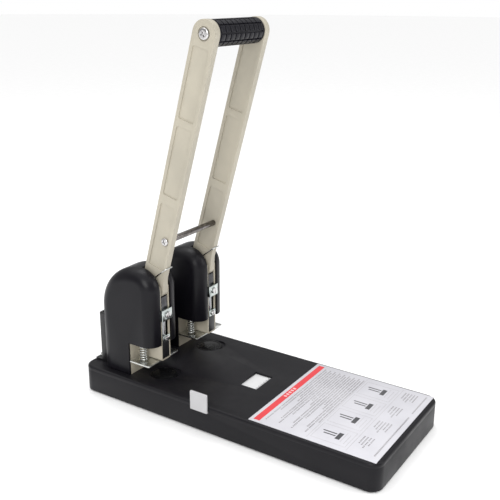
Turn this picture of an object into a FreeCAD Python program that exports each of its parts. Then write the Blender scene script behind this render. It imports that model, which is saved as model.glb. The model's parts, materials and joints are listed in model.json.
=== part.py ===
"""Heavy-duty two-hole punch with a long U-shaped lever.

Millimetres, +Z up. The origin is the centre of the base's footprint on the surface it stands on.
-Y is the front, where the paper lies and the grip swings down; +X is the right-hand tower.
"""

import FreeCAD, Part
import math
import os
import re
import Sketcher

from FreeCAD import Placement, Rotation, Vector

# ---------------------------------------------------------------- driving dimensions
SIZES = {
    # base box
    "base_length": 341.8,
    "base_width": 142.4,
    "base_height": 29.3,
    "base_corner": 12.0,
    "base_wall": 2.5,
    "floor_sheet": 2.2,
    "foot_drop": 1.5,
    "foot_radius": 8.0,
    "foot_inset": 18.0,
    "lid_plate": 2.2,
    "lid_skirt": 4.5,
    "lid_edge": 2.4,
    "post_radius": 5.0,
    "post_inset": 14.0,
    "label_width": 135.8,
    "label_length": 129.5,
    "label_setback": 118.0,
    "label_sheet": 0.3,
    # side guide for the paper
    "guide_width": 20.0,
    "guide_setback": 54.0,
    "guide_sheet": 2.0,
    "guide_travel": 50.0,
    "tab_height": 13.3,
    "tab_sheet": 1.6,
    "window_length": 31.4,
    "window_depth": 20.6,
    "window_setback": 72.9,
    "scale_sheet": 0.3,
    # cutting discs
    "disc_radius": 13.8,
    "disc_sheet": 4.0,
    # towers
    "hole_spacing": 80.0,
    "tower_setback": 90.0,
    "cover_width": 45.8,
    "cover_depth": 70.5,
    "cover_height": 116.0,
    "cover_wall": 2.2,
    "cover_front_round": 22.0,
    "cover_back_round": 46.0,
    "cover_edge": 13.0,
    "slot_width": 16.0,
    "slot_depth": 23.0,
    "window_height": 36.0,
    # pressed steel frame in each tower
    "throat_height": 16.0,
    "throat_depth": 31.7,
    "frame_sheet": 1.6,
    "channel_width": 14.2,
    "punch_wall": 0.5,
    "web_height": 92.0,
    "stripper_sheet": 1.5,
    "stripper_width": 48.0,
    # punch and what slides with it
    "punch_inset": 5.0,
    "punch_radius": 3.0,
    "punch_bore": 2.0,
    "punch_rest_gap": 1.1,
    "stroke": 17.0,
    "holder_bottom": 62.0,
    "holder_height": 12.0,
    "stem_height": 12.6,
    "wing_sheet": 4.0,
    "wing_span": 38.0,
    "spring_offset": 14.5,
    "spring_inset": 19.0,
    "spring_radius": 4.5,
    "spring_wire": 0.6,
    "spring_turns": 17,
    # lever
    "pivot_inset": 18.3,
    "pivot_height": 83.5,
    "axle_radius": 4.0,
    "arm_reach": 269.7,
    "arm_lean": 15.65,
    "arm_width": 24.8,
    "arm_sheet": 7.2,
    "arm_rim": 3.5,
    "panel_recess": 1.2,
    "hub_radius": 9.5,
    "hub_recess": 2.0,
    "nose_reach": 15.8,
    "nose_rise": 32.5,
    "nose_radius": 5.0,
    "grip_radius": 12.0,
    "rod_radius": 4.0,
    "crossbar_reach": 66.0,
    "crossbar_offset": 4.5,
    "crossbar_radius": 3.0,
    "coil_radius": 6.2,
    "coil_wire": 0.7,
    # rear tie plate
    "tie_width": 108.0,
    "tie_height": 57.0,
    "tie_gap": 6.0,
    "tie_sheet": 2.0,
    # screws and fits
    "screw_radius": 2.4,
    "screw_head": 4.5,
    "fit_gap": 0.05,
    "slide_gap": 0.3,
}

# Places worked out from the driving dimensions. Heights in a tower count from the lid's top.
DERIVED = {
    "tower_x": "hole_spacing / 2",
    "tower_y": "base_length / 2 - tower_setback",
    "half_width": "base_width / 2",
    "half_length": "base_length / 2",
    "seam_z": "base_height - lid_skirt",
    "lid_underside": "base_height - lid_plate",
    "floor_top": "foot_drop + floor_sheet",
    "wall_inside": "base_width / 2 - base_wall",
    "channel_half": "channel_width / 2",
    "channel_inside": "channel_width / 2 - frame_sheet",
    "channel_front": "punch_inset - punch_radius - punch_wall",
    "web_front": "throat_depth",
    "web_back": "throat_depth + frame_sheet",
    "channel_floor": "throat_height + stripper_sheet",
    "channel_floor_top": "throat_height + stripper_sheet + frame_sheet",
    "frame_half": "cover_width / 2 - cover_wall - slide_gap",
    "frame_back": "cover_depth - 10.5",
    "frame_top": "cover_height - 10",
    "block_back": "punch_inset + 6.5",
    "guide_top": "holder_bottom - stroke - 0.4",
    "block_top": "holder_bottom - stroke - 7",
    "holder_top": "holder_bottom + holder_height",
    "bar_top": "holder_bottom + 10",
    "wing_bottom": "holder_bottom + 2",
    "wing_top": "holder_bottom + 2 + wing_sheet",
    "wing_front": "spring_inset - 4",
    "wing_back": "spring_inset + 4",
    "pivot_y": "base_length / 2 - tower_setback + pivot_inset",
    "pivot_z": "base_height + pivot_height",
    "grip_y": "base_length / 2 - tower_setback + pivot_inset - arm_reach * sin(arm_lean)",
    "grip_z": "base_height + pivot_height + arm_reach * cos(arm_lean)",
    "arm_half": "arm_sheet / 2",
    "edge_half": "arm_width / 2",
    "nose_y": "-nose_reach * cos(nose_rise + arm_lean)",
    "nose_z": "nose_reach * sin(nose_rise + arm_lean)",
    "tie_front": "cover_depth + tie_gap",
    "tie_back": "cover_depth + tie_gap + tie_sheet",
    "guide_top_z": "base_height - lid_skirt - 0.1",
    "guide_bottom_z": "base_height - lid_skirt - 0.1 - guide_sheet",
    "disc_y": "base_length / 2 - tower_setback + punch_inset",
}

WORD = re.compile(r"[a-z_]+")
MATHS = {"sin", "cos", "tan", "sqrt"}
SIDES = {"left": -1, "right": 1}

doc = FreeCAD.newDocument("hole_punch")
sheet = doc.addObject("Spreadsheet::Sheet", "dims")
for row, (alias, size) in enumerate(SIZES.items(), start=1):
    sheet.set(f"A{row}", alias)
    sheet.set(f"B{row}", str(size))
    sheet.setAlias(f"B{row}", alias)
doc.recompute()


# ---------------------------------------------------------------- helpers
def link(formula):
    """Write a short formula out in the sheet's own cells."""

    def swap(match):
        word = match.group(0)
        if word in DERIVED:
            return f"({link(DERIVED[word])})"
        if word in MATHS:
            return word
        return f"dims.{word}"

    return WORD.sub(swap, str(formula))


def value(formula):
    """The present value of a formula."""
    return float(sheet.evalExpression(link(formula)))


def new_body(label, place=("0", "0", "0"), lean=None):
    """An empty body whose place follows the sheet; lean tips it about X, towards the front."""
    body = doc.addObject("PartDesign::Body", label)
    body.Label = label
    body.AllowCompound = True
    if lean is not None:
        body.Placement = Placement(Vector(), Rotation(Vector(1, 0, 0), value(lean)))
        body.setExpression("Placement.Rotation.Angle", link(lean))
    for axis, formula in zip("xyz", place):
        body.setExpression(f"Placement.Base.{axis}", link(formula))
    return body


def tower_place(side):
    """The middle of a tower's front plane, on the lid."""
    return (f"{side} * tower_x", "tower_y", "base_height")


def pin_point(sketch, geometry, point, x, y):
    """Hold one point of a sketch at two formulas."""
    for kind, formula in (("DistanceX", x), ("DistanceY", y)):
        number = sketch.addConstraint(
            Sketcher.Constraint(kind, -1, 1, geometry, point, value(formula))
        )
        sketch.setExpression(f"Constraints[{number}]", link(formula))


def polygon(*corners):
    """A closed outline of straight lines through corners given as formulas."""

    def draw(sketch):
        first = sketch.GeometryCount
        spots = [Vector(value(x), value(y), 0) for x, y in corners]
        count = len(spots)
        for index, spot in enumerate(spots):
            line = Part.LineSegment(spot, spots[(index + 1) % count])
            sketch.addGeometry(line, False)
        for index, (x, y) in enumerate(corners):
            following = first + (index + 1) % count
            join = Sketcher.Constraint("Coincident", first + index, 2, following, 1)
            sketch.addConstraint(join)
            pin_point(sketch, first + index, 1, x, y)

    return draw


def rectangle(low_x, high_x, low_y, high_y):
    return polygon((low_x, low_y), (high_x, low_y), (high_x, high_y), (low_x, high_y))


def circle(x, y, radius):
    def draw(sketch):
        centre = Vector(value(x), value(y), 0)
        number = sketch.addGeometry(Part.Circle(centre, Vector(0, 0, 1), value(radius)), False)
        pin_point(sketch, number, 3, x, y)
        limit = sketch.addConstraint(Sketcher.Constraint("Radius", number, value(radius)))
        sketch.setExpression(f"Constraints[{limit}]", link(radius))

    return draw


def new_sketch(body, plane, start, shapes):
    """A sketch on one of the body's own planes, moved along its axis to start."""
    sketch = body.newObject("Sketcher::SketchObject", "outline")
    planes = body.Origin.OriginFeatures
    sketch.AttachmentSupport = (next(p for p in planes if p.Role == f"{plane}_Plane"), "")
    sketch.MapMode = "FlatFace"
    shift = f"-({start})" if plane == "XZ" else start
    sketch.setExpression("AttachmentOffset.Base.z", link(shift))
    for draw in shapes:
        draw(sketch)
    return sketch


def extrude(kind, body, plane, start, end, shapes):
    sketch = new_sketch(body, plane, start, shapes)
    feature = body.newObject(f"PartDesign::{kind}", kind)
    feature.Profile = sketch
    feature.setExpression("Length", link(f"({end}) - ({start})"))
    feature.Reversed = (kind == "Pocket") != (plane == "XZ")
    doc.recompute()
    return feature


def add(body, plane, start, end, *shapes):
    """Material between two heights along the plane's axis (Z, X or Y)."""
    return extrude("Pad", body, plane, start, end, shapes)


def cut(body, plane, start, end, *shapes):
    """Take material away between two heights, and check that some really went."""
    before = body.Shape.Volume
    feature = extrude("Pocket", body, plane, start, end, shapes)
    if body.Shape.Volume > before - 0.01:
        raise RuntimeError(f"a pocket of {body.Label} took nothing away")
    return feature


def round_edges(body, radius, wanted):
    """Fillet the edges that a test picks."""
    base = body.Tip
    names = [f"Edge{i + 1}" for i, edge in enumerate(base.Shape.Edges) if wanted(edge)]
    if not names:
        raise RuntimeError(f"no edge to round on {body.Label}")
    feature = body.newObject("PartDesign::Fillet", "Fillet")
    feature.Base = (base, names)
    feature.setExpression("Radius", link(radius))
    doc.recompute()
    return feature


def near(first, second):
    return abs(first - second) < 0.01


def runs_along(edge, axis):
    """True for a straight edge along the axis numbered 0, 1 or 2."""
    if not isinstance(edge.Curve, (Part.Line, Part.LineSegment)):
        return False
    first, last = edge.Vertexes[0].Point, edge.Vertexes[-1].Point
    return all(near(first[k], last[k]) for k in range(3) if k != axis)


def middle(edge):
    return edge.valueAt((edge.FirstParameter + edge.LastParameter) / 2)


def upright_at(places):
    """Upright edges whose middles stand at any of the given (x, y) places."""

    def wanted(edge):
        if not runs_along(edge, 2):
            return False
        spot = middle(edge)
        return any(near(abs(spot.x), x) and near(abs(spot.y), y) for x, y in places)

    return wanted


def four(x, y, radius):
    """Four equal circles, one in each quarter."""
    return [circle(f"{a} * ({x})", f"{b} * ({y})", radius) for a in (-1, 1) for b in (-1, 1)]


def pair(x, y, radius):
    """Two equal circles, left and right."""
    return [circle(f"{a} * ({x})", y, radius) for a in (-1, 1)]


def flange_spots():
    """The four screw places on the foot of one tower's frame."""
    columns = ("-frame_half * 0.62", "frame_half * 0.62")
    rows = ("web_back + 7", "frame_back - 8.5")
    return [(x, y) for x in columns for y in rows]


def tie_spots():
    return [(f"{side} * tie_width * {share}", "tie_back + 4.6") for side in (-1, 1) for share in (0.17, 0.42)]


def base_spots():
    """Places in the base's own frame of every screw that comes down from above."""
    spots = [(x, f"tower_y + {y}") for x, y in tie_spots()]
    for side in SIDES.values():
        spots += [(f"{side} * tower_x + {x}", f"tower_y + {y}") for x, y in flange_spots()]
    return spots


def solid_feature(label, shape, place=(0, 0, 0), turn=None):
    """A piece made with shape functions, for coils and bent wire."""
    feature = doc.addObject("Part::Feature", label)
    feature.Label = label
    feature.Shape = shape
    feature.Placement = Placement(Vector(*place), turn or Rotation())
    return feature


def sweep(path, start, direction, wire_radius, arcs=1):
    """A round wire along a path, its section drawn as one circle or as equal arcs."""
    section = Part.Circle(start, direction, wire_radius)
    share = 2 * math.pi / arcs
    edges = [section.toShape(turn * share, (turn + 1) * share) for turn in range(arcs)]
    return path.makePipeShell([Part.Wire(edges)], True, True)


def bent_wire(points, bend, wire_radius):
    """A wire of straight runs with round bends between them."""
    spots = [Vector(*point) for point in points]
    edges = []
    begin = spots[0]
    for before, corner, after in zip(spots, spots[1:], spots[2:]):
        inward = (before - corner).normalize()
        outward = (after - corner).normalize()
        half = inward.getAngle(outward) / 2
        reach = bend / math.tan(half)
        first = corner + inward * reach
        last = corner + outward * reach
        toward = (inward + outward).normalize()
        through = corner + toward * (bend / math.sin(half) - bend)
        edges.append(Part.LineSegment(begin, first).toShape())
        edges.append(Part.Arc(first, through, last).toShape())
        begin = last
    edges.append(Part.LineSegment(begin, spots[-1]).toShape())
    return sweep(Part.Wire(edges), spots[0], spots[1] - spots[0], wire_radius)


def coil(radius, wire_radius, height, turns):
    """A coil spring on the Z axis that starts at its foot."""
    path = Part.makeHelix(height / turns, height, radius)
    return sweep(Part.Wire(path.Edges), Vector(radius, 0, 0), Vector(0, 1, 0), wire_radius, arcs=12)


# ---------------------------------------------------------------- base
def round_box_corners(body):
    """Round the base box's corners, inside first so that the wall never breaks through."""
    inside = [(value("wall_inside"), value("half_length - base_wall"))]
    round_edges(body, "base_corner - base_wall", upright_at(inside))
    outside = [(value("half_width"), value("half_length"))]
    round_edges(body, "base_corner", upright_at(outside))


def make_lid():
    """Shallow tray turned upside down: plate, skirt, disc cups and the scale window."""
    body = new_body("base_lid")
    whole = rectangle("-half_width", "half_width", "-half_length", "half_length")
    add(body, "XY", "seam_z", "base_height", whole)
    inner = rectangle(
        "-wall_inside", "wall_inside", "-half_length + base_wall", "half_length - base_wall"
    )
    cut(body, "XY", "seam_z", "lid_underside", inner)
    round_box_corners(body)
    cup = "disc_radius + slide_gap"
    add(body, "XY", "base_height - disc_sheet - 2", "lid_underside", *pair("tower_x", "disc_y", f"{cup} + 2"))
    bosses = four("half_width - post_inset", "half_length - post_inset", "post_radius")
    add(body, "XY", "seam_z - 4", "lid_underside", *bosses)
    cut(body, "XY", "base_height - disc_sheet", "base_height", *pair("tower_x", "disc_y", cup))
    notch = [circle(f"{side} * tower_x + 5", "disc_y - 5", "disc_radius - 2.5") for side in (-1, 1)]
    cut(body, "XY", "base_height - 1.6", "base_height", *notch)
    back = "tower_y - window_setback"
    window = rectangle("-window_length / 2", "window_length / 2", f"{back} - window_depth", back)
    cut(body, "XY", "lid_underside", "base_height", window)
    holes = [circle(x, y, "screw_radius + 0.1") for x, y in base_spots()]
    cut(body, "XY", "lid_underside", "base_height", *holes)
    tapped = four("half_width - post_inset", "half_length - post_inset", "screw_radius - 0.4")
    cut(body, "XY", "seam_z - 4", "lid_underside", *tapped)
    top = value("base_height")

    def rim(edge):
        box = edge.BoundBox
        if not (near(box.ZMin, top) and near(box.ZMax, top)):
            return False
        spot = middle(edge)
        on_side = near(abs(spot.x), value("half_width")) or near(abs(spot.y), value("half_length"))
        round_corner = isinstance(edge.Curve, Part.Circle) and near(edge.Curve.Radius, value("base_corner"))
        return on_side or round_corner

    round_edges(body, "lid_edge", rim)
    return body


def make_housing():
    """Tray under the lid: walls, floor, screw posts and two rails for the side guide."""
    body = new_body("base_housing")
    whole = rectangle("-half_width", "half_width", "-half_length", "half_length")
    add(body, "XY", "foot_drop", "seam_z", whole)
    inner = rectangle(
        "-wall_inside", "wall_inside", "-half_length + base_wall", "half_length - base_wall"
    )
    cut(body, "XY", "floor_top", "seam_z", inner)
    round_box_corners(body)
    low_posts = four("half_width - post_inset", "half_length - post_inset", "post_radius")
    add(body, "XY", "foot_drop", "seam_z - 4", *low_posts)
    for x, y in base_spots():
        add(body, "XY", "floor_top", "lid_underside", circle(x, y, "post_radius - 0.8"))
    rails = [
        rectangle("-wall_inside + 30", "wall_inside - 2", f"tower_y - {y} - 2", f"tower_y - {y}")
        for y in ("guide_setback - 4", "(window_setback + window_depth) + 1")
    ]
    add(body, "XY", "floor_top", "guide_bottom_z - 0.1", *rails)
    through = four("half_width - post_inset", "half_length - post_inset", "screw_radius")
    cut(body, "XY", "foot_drop", "seam_z - 4", *through)
    sunk = four("half_width - post_inset", "half_length - post_inset", "screw_head")
    cut(body, "XY", "foot_drop", "foot_drop + 4", *sunk)
    tapped = [circle(x, y, "screw_radius") for x, y in base_spots()]
    cut(body, "XY", "base_height - 18", "lid_underside", *tapped)
    sockets = four("half_width - foot_inset", "half_length - foot_inset - 14", "foot_radius / 2")
    cut(body, "XY", "foot_drop", "floor_top", *sockets)
    near_side = "tower_y - guide_setback + slide_gap"
    far_side = "tower_y - guide_setback - guide_width - slide_gap"
    mouth = rectangle(far_side, near_side, "guide_bottom_z - slide_gap", "seam_z")
    cut(body, "YZ", "-half_width", "-wall_inside", mouth)
    return body


def make_feet():
    """Rubber feet whose plugs fill the sockets in the floor."""
    body = new_body("rubber_feet")
    x, y = "half_width - foot_inset", "half_length - foot_inset - 14"
    add(body, "XY", "0", "foot_drop", *four(x, y, "foot_radius"))
    add(body, "XY", "foot_drop", "floor_top", *four(x, y, "foot_radius / 2"))
    return body


def make_base_screws():
    """Screws from below that draw the lid onto the housing."""
    body = new_body("base_screws")
    x, y = "half_width - post_inset", "half_length - post_inset"
    add(body, "XY", "foot_drop + 1", "foot_drop + 4", *four(x, y, "screw_head - 0.3"))
    add(body, "XY", "foot_drop + 4", "seam_z + 1", *four(x, y, "screw_radius - 0.4"))
    return body


def make_label():
    body = new_body("instruction_label")
    back = "tower_y - label_setback"
    card = rectangle("-label_width / 2", "label_width / 2", f"{back} - label_length", back)
    add(body, "XY", "base_height", "base_height + label_sheet", card)
    return body


def make_side_guide():
    """Sliding side stop: arm and scale carrier under the lid, upright tab outside."""
    body = new_body("side_guide")
    inner_face = "-half_width - slide_gap"
    outer_face = "-half_width - slide_gap - tab_sheet"
    back = "tower_y - guide_setback"
    front = "tower_y - guide_setback - guide_width"
    far = "tower_y - window_setback - window_depth - 2"
    left = "-window_length / 2 - 2"
    right = "-window_length / 2 - 2 + window_length + guide_travel - 4"
    arm = polygon(
        (outer_face, front), (left, front), (left, far), (right, far), (right, back), (outer_face, back)
    )
    add(body, "XY", "guide_bottom_z", "guide_top_z", arm)
    pad = rectangle(left, right, far, "tower_y - window_setback + 1.5")
    add(body, "XY", "guide_top_z", "lid_underside - 0.2 - scale_sheet", pad)
    tab = rectangle(outer_face, inner_face, front, back)
    add(body, "XY", "guide_bottom_z", "base_height + tab_height", tab)

    def tab_corner(edge):
        spot = middle(edge)
        return runs_along(edge, 0) and near(spot.z, value("base_height + tab_height"))

    round_edges(body, "tab_sheet * 0.8", tab_corner)
    return body


def make_scale():
    body = new_body("guide_scale")
    left = "-window_length / 2 - 1.8"
    right = "-window_length / 2 - 2 + window_length + guide_travel - 4.2"
    strip = rectangle(
        left, right, "tower_y - window_setback - window_depth - 1.8", "tower_y - window_setback + 1.3"
    )
    add(body, "XY", "lid_underside - 0.2 - scale_sheet", "lid_underside - 0.2", strip)
    return body


def make_disc(name, side):
    """Replaceable cutting disc under the punch, flush with the lid."""
    body = new_body(f"cutting_disc_{name}", (f"{side} * tower_x", "disc_y", "0"))
    add(body, "XY", "base_height - disc_sheet", "base_height", circle("0", "0", "disc_radius"))
    ring = [circle("0", "0", "disc_radius - 1.6"), circle("0", "0", "disc_radius - 2.4")]
    cut(body, "XY", "base_height - 0.5", "base_height", *ring)
    return body


def make_tie_plate():
    """Channel that ties both towers behind their covers, bolted to the base."""
    body = new_body("rear_tie_plate", ("0", "tower_y", "base_height"))
    half = "tie_width / 2"
    plate = rectangle(f"-{half}", half, "0", "tie_height")
    add(body, "XZ", "tie_front", "tie_back", plate)
    flanges = [
        rectangle(f"-{half}", f"-{half} + tie_sheet", "cover_depth + slide_gap", "tie_front"),
        rectangle(f"{half} - tie_sheet", half, "cover_depth + slide_gap", "tie_front"),
    ]
    add(body, "XY", "0", "tie_height", *flanges)
    add(body, "XY", "0", "tie_sheet", rectangle(f"-{half}", half, "tie_back", "tie_back + 9"))
    holes = [circle(x, y, "screw_radius + 0.1") for x, y in tie_spots()]
    cut(body, "XY", "0", "tie_sheet", *holes)

    def top_corner(edge):
        spot = middle(edge)
        return runs_along(edge, 1) and near(spot.z, value("tie_height")) and near(abs(spot.x), value(half))

    round_edges(body, "tie_sheet * 0.9", top_corner)
    return body


def make_screws(label, place, spots, seat, depth):
    """Pan-head screws, one at each spot, with their heads on seat."""
    body = new_body(label, place)
    add(body, "XY", seat, f"{seat} + 2.8", *[circle(x, y, "screw_head") for x, y in spots])
    add(body, "XY", f"{seat} - {depth}", seat, *[circle(x, y, "screw_radius") for x, y in spots])
    head_top = value(f"{seat} + 2.8")

    def brim(edge):
        return isinstance(edge.Curve, Part.Circle) and near(middle(edge).z, head_top)

    round_edges(body, "1.4", brim)
    return body


# ---------------------------------------------------------------- towers
def make_cover(name, side):
    """Moulded cover: a rounded shell with a slot for the arm and an open lower front."""
    body = new_body(f"cover_{name}", tower_place(side))
    half, inset = "cover_width / 2", "cover_wall"
    profile = polygon(
        ("0", "window_height"), ("0", "cover_height"), ("cover_depth", "cover_height"),
        ("cover_depth", "0"), ("throat_depth", "0"), ("throat_depth", "window_height"),
    )
    add(body, "YZ", f"-{half}", half, profile)
    inner = polygon(
        (inset, "window_height - 1"), (inset, f"cover_height - {inset}"),
        (f"cover_depth - {inset}", f"cover_height - {inset}"), (f"cover_depth - {inset}", "-1"),
        ("throat_depth - 1", "-1"), ("throat_depth - 1", "window_height - 1"),
    )
    cut(body, "YZ", f"-{half} + {inset}", f"{half} - {inset}", inner)
    window_z, throat_y = value("window_height"), value("throat_depth")

    def crest(depth, height):
        """The edge across the cover at one depth and height."""
        at_y, at_z = value(depth), value(height)
        return lambda edge: runs_along(edge, 0) and near(middle(edge).y, at_y) and near(middle(edge).z, at_z)

    def rim(reach):
        """The edges round one side, without those of the open lower front."""
        side_x = value(reach)

        def wanted(edge):
            box = edge.BoundBox
            on_side = near(abs(box.XMin), side_x) and near(abs(box.XMax), side_x)
            level = near(box.ZMin, box.ZMax) and box.ZMin < window_z + 1
            upright = near(box.YMin, box.YMax) and near(box.YMin, throat_y)
            return on_side and not level and not upright

        return wanted

    top, back = f"cover_height - {inset}", f"cover_depth - {inset}"
    round_edges(body, f"cover_front_round - {inset}", crest(inset, top))
    round_edges(body, f"cover_back_round - {inset}", crest(back, top))
    round_edges(body, "cover_front_round", crest("0", "cover_height"))
    round_edges(body, "cover_back_round", crest("cover_depth", "cover_height"))
    round_edges(body, f"cover_edge - {inset}", rim(f"{half} - {inset}"))
    round_edges(body, "cover_edge", rim(half))
    slot = rectangle("-slot_width / 2", "slot_width / 2", "-1", "slot_depth")
    cut(body, "XY", "window_height - 1", "cover_height + 1", slot)
    return body


def make_frame(name, side):
    """Welded steel frame: channel round the arm, back stop across the throat, bolted foot."""
    body = new_body(f"frame_{name}", tower_place(side))
    cheek = polygon(
        ("channel_front", "channel_floor"), ("channel_front", "frame_top - 9"),
        ("channel_front + 8", "frame_top"), ("cover_depth * 0.6", "frame_top"),
        ("frame_back", "frame_top * 0.8"), ("frame_back", "0"), ("web_front", "0"),
        ("web_front", "channel_floor"),
    )
    add(body, "YZ", "-channel_half", "channel_half", cheek)
    hollow = polygon(
        ("0", "channel_floor_top"), ("0", "frame_top + 1"), ("frame_back + 1", "frame_top + 1"),
        ("frame_back + 1", "-1"), ("web_back", "-1"), ("web_back", "channel_floor_top"),
    )
    cut(body, "YZ", "-channel_inside", "channel_inside", hollow)

    def fold(edge):
        spot = middle(edge)
        return runs_along(edge, 1) and near(abs(spot.x), value("channel_half")) and near(
            spot.z, value("channel_floor")
        )

    round_edges(body, "frame_sheet * 1.2", fold)
    add(body, "XZ", "web_front", "web_back", rectangle("-frame_half", "frame_half", "0", "web_height"))
    foot = rectangle("-frame_half", "frame_half", "web_back", "frame_back - 3")
    add(body, "XY", "0", "frame_sheet", foot)
    wing_way = rectangle(
        "wing_front - slide_gap", "wing_back + slide_gap", "wing_bottom - stroke - 1", "wing_top + 1"
    )
    axle = circle("pivot_inset", "pivot_height", "axle_radius")
    cut(body, "YZ", "-channel_half", "channel_half", wing_way, axle)
    punch_hole = circle("0", "punch_inset", "punch_radius + 4 * fit_gap")
    cut(body, "XY", "channel_floor", "channel_floor_top", punch_hole)
    holes = [circle(x, y, "screw_radius + 0.1") for x, y in flange_spots()]
    cut(body, "XY", "0", "frame_sheet", *holes)
    return body


def make_stripper(name, side):
    """Plated sheet under the frame that holds the paper down and carries the springs."""
    body = new_body(f"stripper_plate_{name}", tower_place(side))
    half = "stripper_width / 2"
    notch = "channel_half + 3.8"
    outline = polygon(
        (f"-{half}", "punch_inset - 1"), (f"-{notch}", "punch_inset - 1"), (f"-{notch}", "punch_inset + 5"),
        (notch, "punch_inset + 5"), (notch, "punch_inset - 1"), (half, "punch_inset - 1"),
        (half, "throat_depth - 2.2"), (f"-{half}", "throat_depth - 2.2"),
    )
    add(body, "XY", "throat_height", "channel_floor", outline)

    def front_corner(edge):
        spot = middle(edge)
        return runs_along(edge, 2) and near(abs(spot.x), value(half)) and spot.y < value("throat_depth") / 2

    round_edges(body, "2.5", front_corner)
    rivets = [circle("0", row, "1.5") for row in ("spring_inset - 3", "spring_inset + 6")]
    cut(body, "XY", "throat_height", "channel_floor", *rivets)
    return body


def make_guide_block(name, side):
    """Black plastic bush block on the channel's floor, with the punch running through it."""
    body = new_body(f"guide_block_{name}", tower_place(side))
    block = rectangle("-channel_inside", "channel_inside", "channel_front", "block_back")
    add(body, "XY", "channel_floor_top", "block_top", block)
    cut(body, "XY", "channel_floor_top", "block_top", circle("0", "punch_inset", "punch_radius + fit_gap"))
    return body


def make_punch_guide(name, side):
    """Steel guide on top of the block, at the end of the holder's travel."""
    body = new_body(f"punch_guide_{name}", tower_place(side))
    block = rectangle("-channel_inside", "channel_inside", "channel_front - 1.2", "block_back")
    add(body, "XY", "block_top", "guide_top", block)
    cut(body, "XY", "block_top", "guide_top", circle("0", "punch_inset", "punch_radius + fit_gap"))
    seat = circle("0", "(block_top + guide_top) / 2", "1.2")
    cut(body, "XZ", "channel_front - 1.2", "punch_inset - punch_radius", seat)
    return body


def make_front_screw(label, side, height, face, head):
    """Small cheese-head screw that enters from the front and stops at the punch."""
    body = new_body(label, tower_place(side))
    add(body, "XZ", f"{face} - 1.8", face, circle("0", height, head))
    add(body, "XZ", face, "punch_inset - punch_radius", circle("0", height, "1.2"))
    slot = rectangle("-0.5", "0.5", f"{height} - {head}", f"{height} + {head}")
    cut(body, "XZ", f"{face} - 1.8", f"{face} - 0.9", slot)
    return body


def make_axle(name, side):
    """Axle of the lever, held by a ring at each end."""
    body = new_body(f"axle_{name}", tower_place(side))
    reach = "channel_half + 3"
    add(body, "YZ", f"-({reach})", reach, circle("pivot_inset", "pivot_height", "axle_radius"))
    rings = new_body(f"axle_rings_{name}", tower_place(side))
    for inner, outer in (("channel_half", "channel_half + 1.5"), ("-channel_half - 1.5", "-channel_half")):
        add(
            rings, "YZ", inner, outer,
            circle("pivot_inset", "pivot_height", "axle_radius + 2.5"),
            circle("pivot_inset", "pivot_height", "axle_radius"),
        )
    return body


def make_return_springs(name, side):
    """Two coil springs between the stripper plate and the wings of the crossbar."""
    wire = value("spring_wire")
    foot = value("channel_floor") + wire
    height = value("wing_bottom") - value("channel_floor") - 2 * wire
    one = coil(value("spring_radius") - wire, wire, height, value("spring_turns"))
    springs = []
    for offset in (-value("spring_offset"), value("spring_offset")):
        copy = one.copy()
        copy.translate(Vector(offset, value("spring_inset"), foot))
        springs.append(copy)
    place = [value(formula) for formula in tower_place(side)]
    return solid_feature(f"return_springs_{name}", Part.makeCompound(springs), place)


def make_torsion_coil(name, side):
    """One turn of the lever's torsion spring round the axle, its tail against the back stop."""
    wire, radius = value("coil_wire"), value("coil_radius")
    tail_length = value("web_front - pivot_inset") - wire - 0.1
    room = value("hub_recess + channel_inside - arm_half") - 2 * wire - 0.45
    pitch = room / (1 + tail_length / (2 * math.pi * radius))
    tail_rise = room - pitch
    tail_start = Vector(radius, -tail_length, -tail_rise)
    tail = Part.LineSegment(tail_start, Vector(radius, 0, 0)).toShape()
    path = Part.Wire([tail] + Part.makeHelix(pitch, pitch, radius).Edges)
    shape = sweep(path, tail_start, Vector(radius, 0, 0) - tail_start, wire, arcs=12)
    turn = Rotation(Vector(0, 0, 1), Vector(0, -1, 0), Vector(1, 0, 0), "XYZ")
    x = value(f"{side} * tower_x - channel_inside + coil_wire + 0.1") + tail_rise
    return solid_feature(f"torsion_coil_{name}", shape, (x, value("pivot_y"), value("pivot_z")), turn)


# ---------------------------------------------------------------- sliding punch sets
def make_punch(name, side):
    """Hollow punch; the chips leave by a window in its back."""
    body = new_body(f"punch_{name}", tower_place(side))
    tip = "throat_height + punch_rest_gap"
    top = "holder_top - 2.3"
    add(body, "XY", tip, top, circle("0", "punch_inset", "punch_radius"))
    cut(body, "XY", tip, "holder_bottom - 2", circle("0", "punch_inset", "punch_bore"))
    exit_window = rectangle("-1.3", "1.3", "holder_bottom - 14", "holder_bottom - 4")
    cut(body, "XZ", "punch_inset", "punch_inset + punch_radius + 1", exit_window)
    return body


def make_holder(name, side):
    """Plated holder that clamps the punch; its front plate runs on the channel's edges."""
    body = new_body(f"punch_holder_{name}", tower_place(side))
    plate_half = "slot_width / 2 - slide_gap"
    inner_half = "channel_inside - slide_gap"
    step = "channel_front - 0.2"
    outline = polygon(
        (f"-({plate_half})", "-2"), (plate_half, "-2"), (plate_half, step), (inner_half, step),
        (inner_half, "block_back"), (f"-({inner_half})", "block_back"), (f"-({inner_half})", step),
        (f"-({plate_half})", step),
    )
    add(body, "XY", "holder_bottom", "holder_top", outline)

    def front_corner(edge):
        spot = middle(edge)
        return runs_along(edge, 2) and near(spot.y, -2)

    round_edges(body, "1", front_corner)
    cut(body, "XY", "holder_bottom", "holder_top - 2.3", circle("0", "punch_inset", "punch_radius"))
    cut(body, "XZ", "-2", "punch_inset - punch_radius", circle("0", "holder_bottom + 6", "1.2"))
    return body


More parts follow.
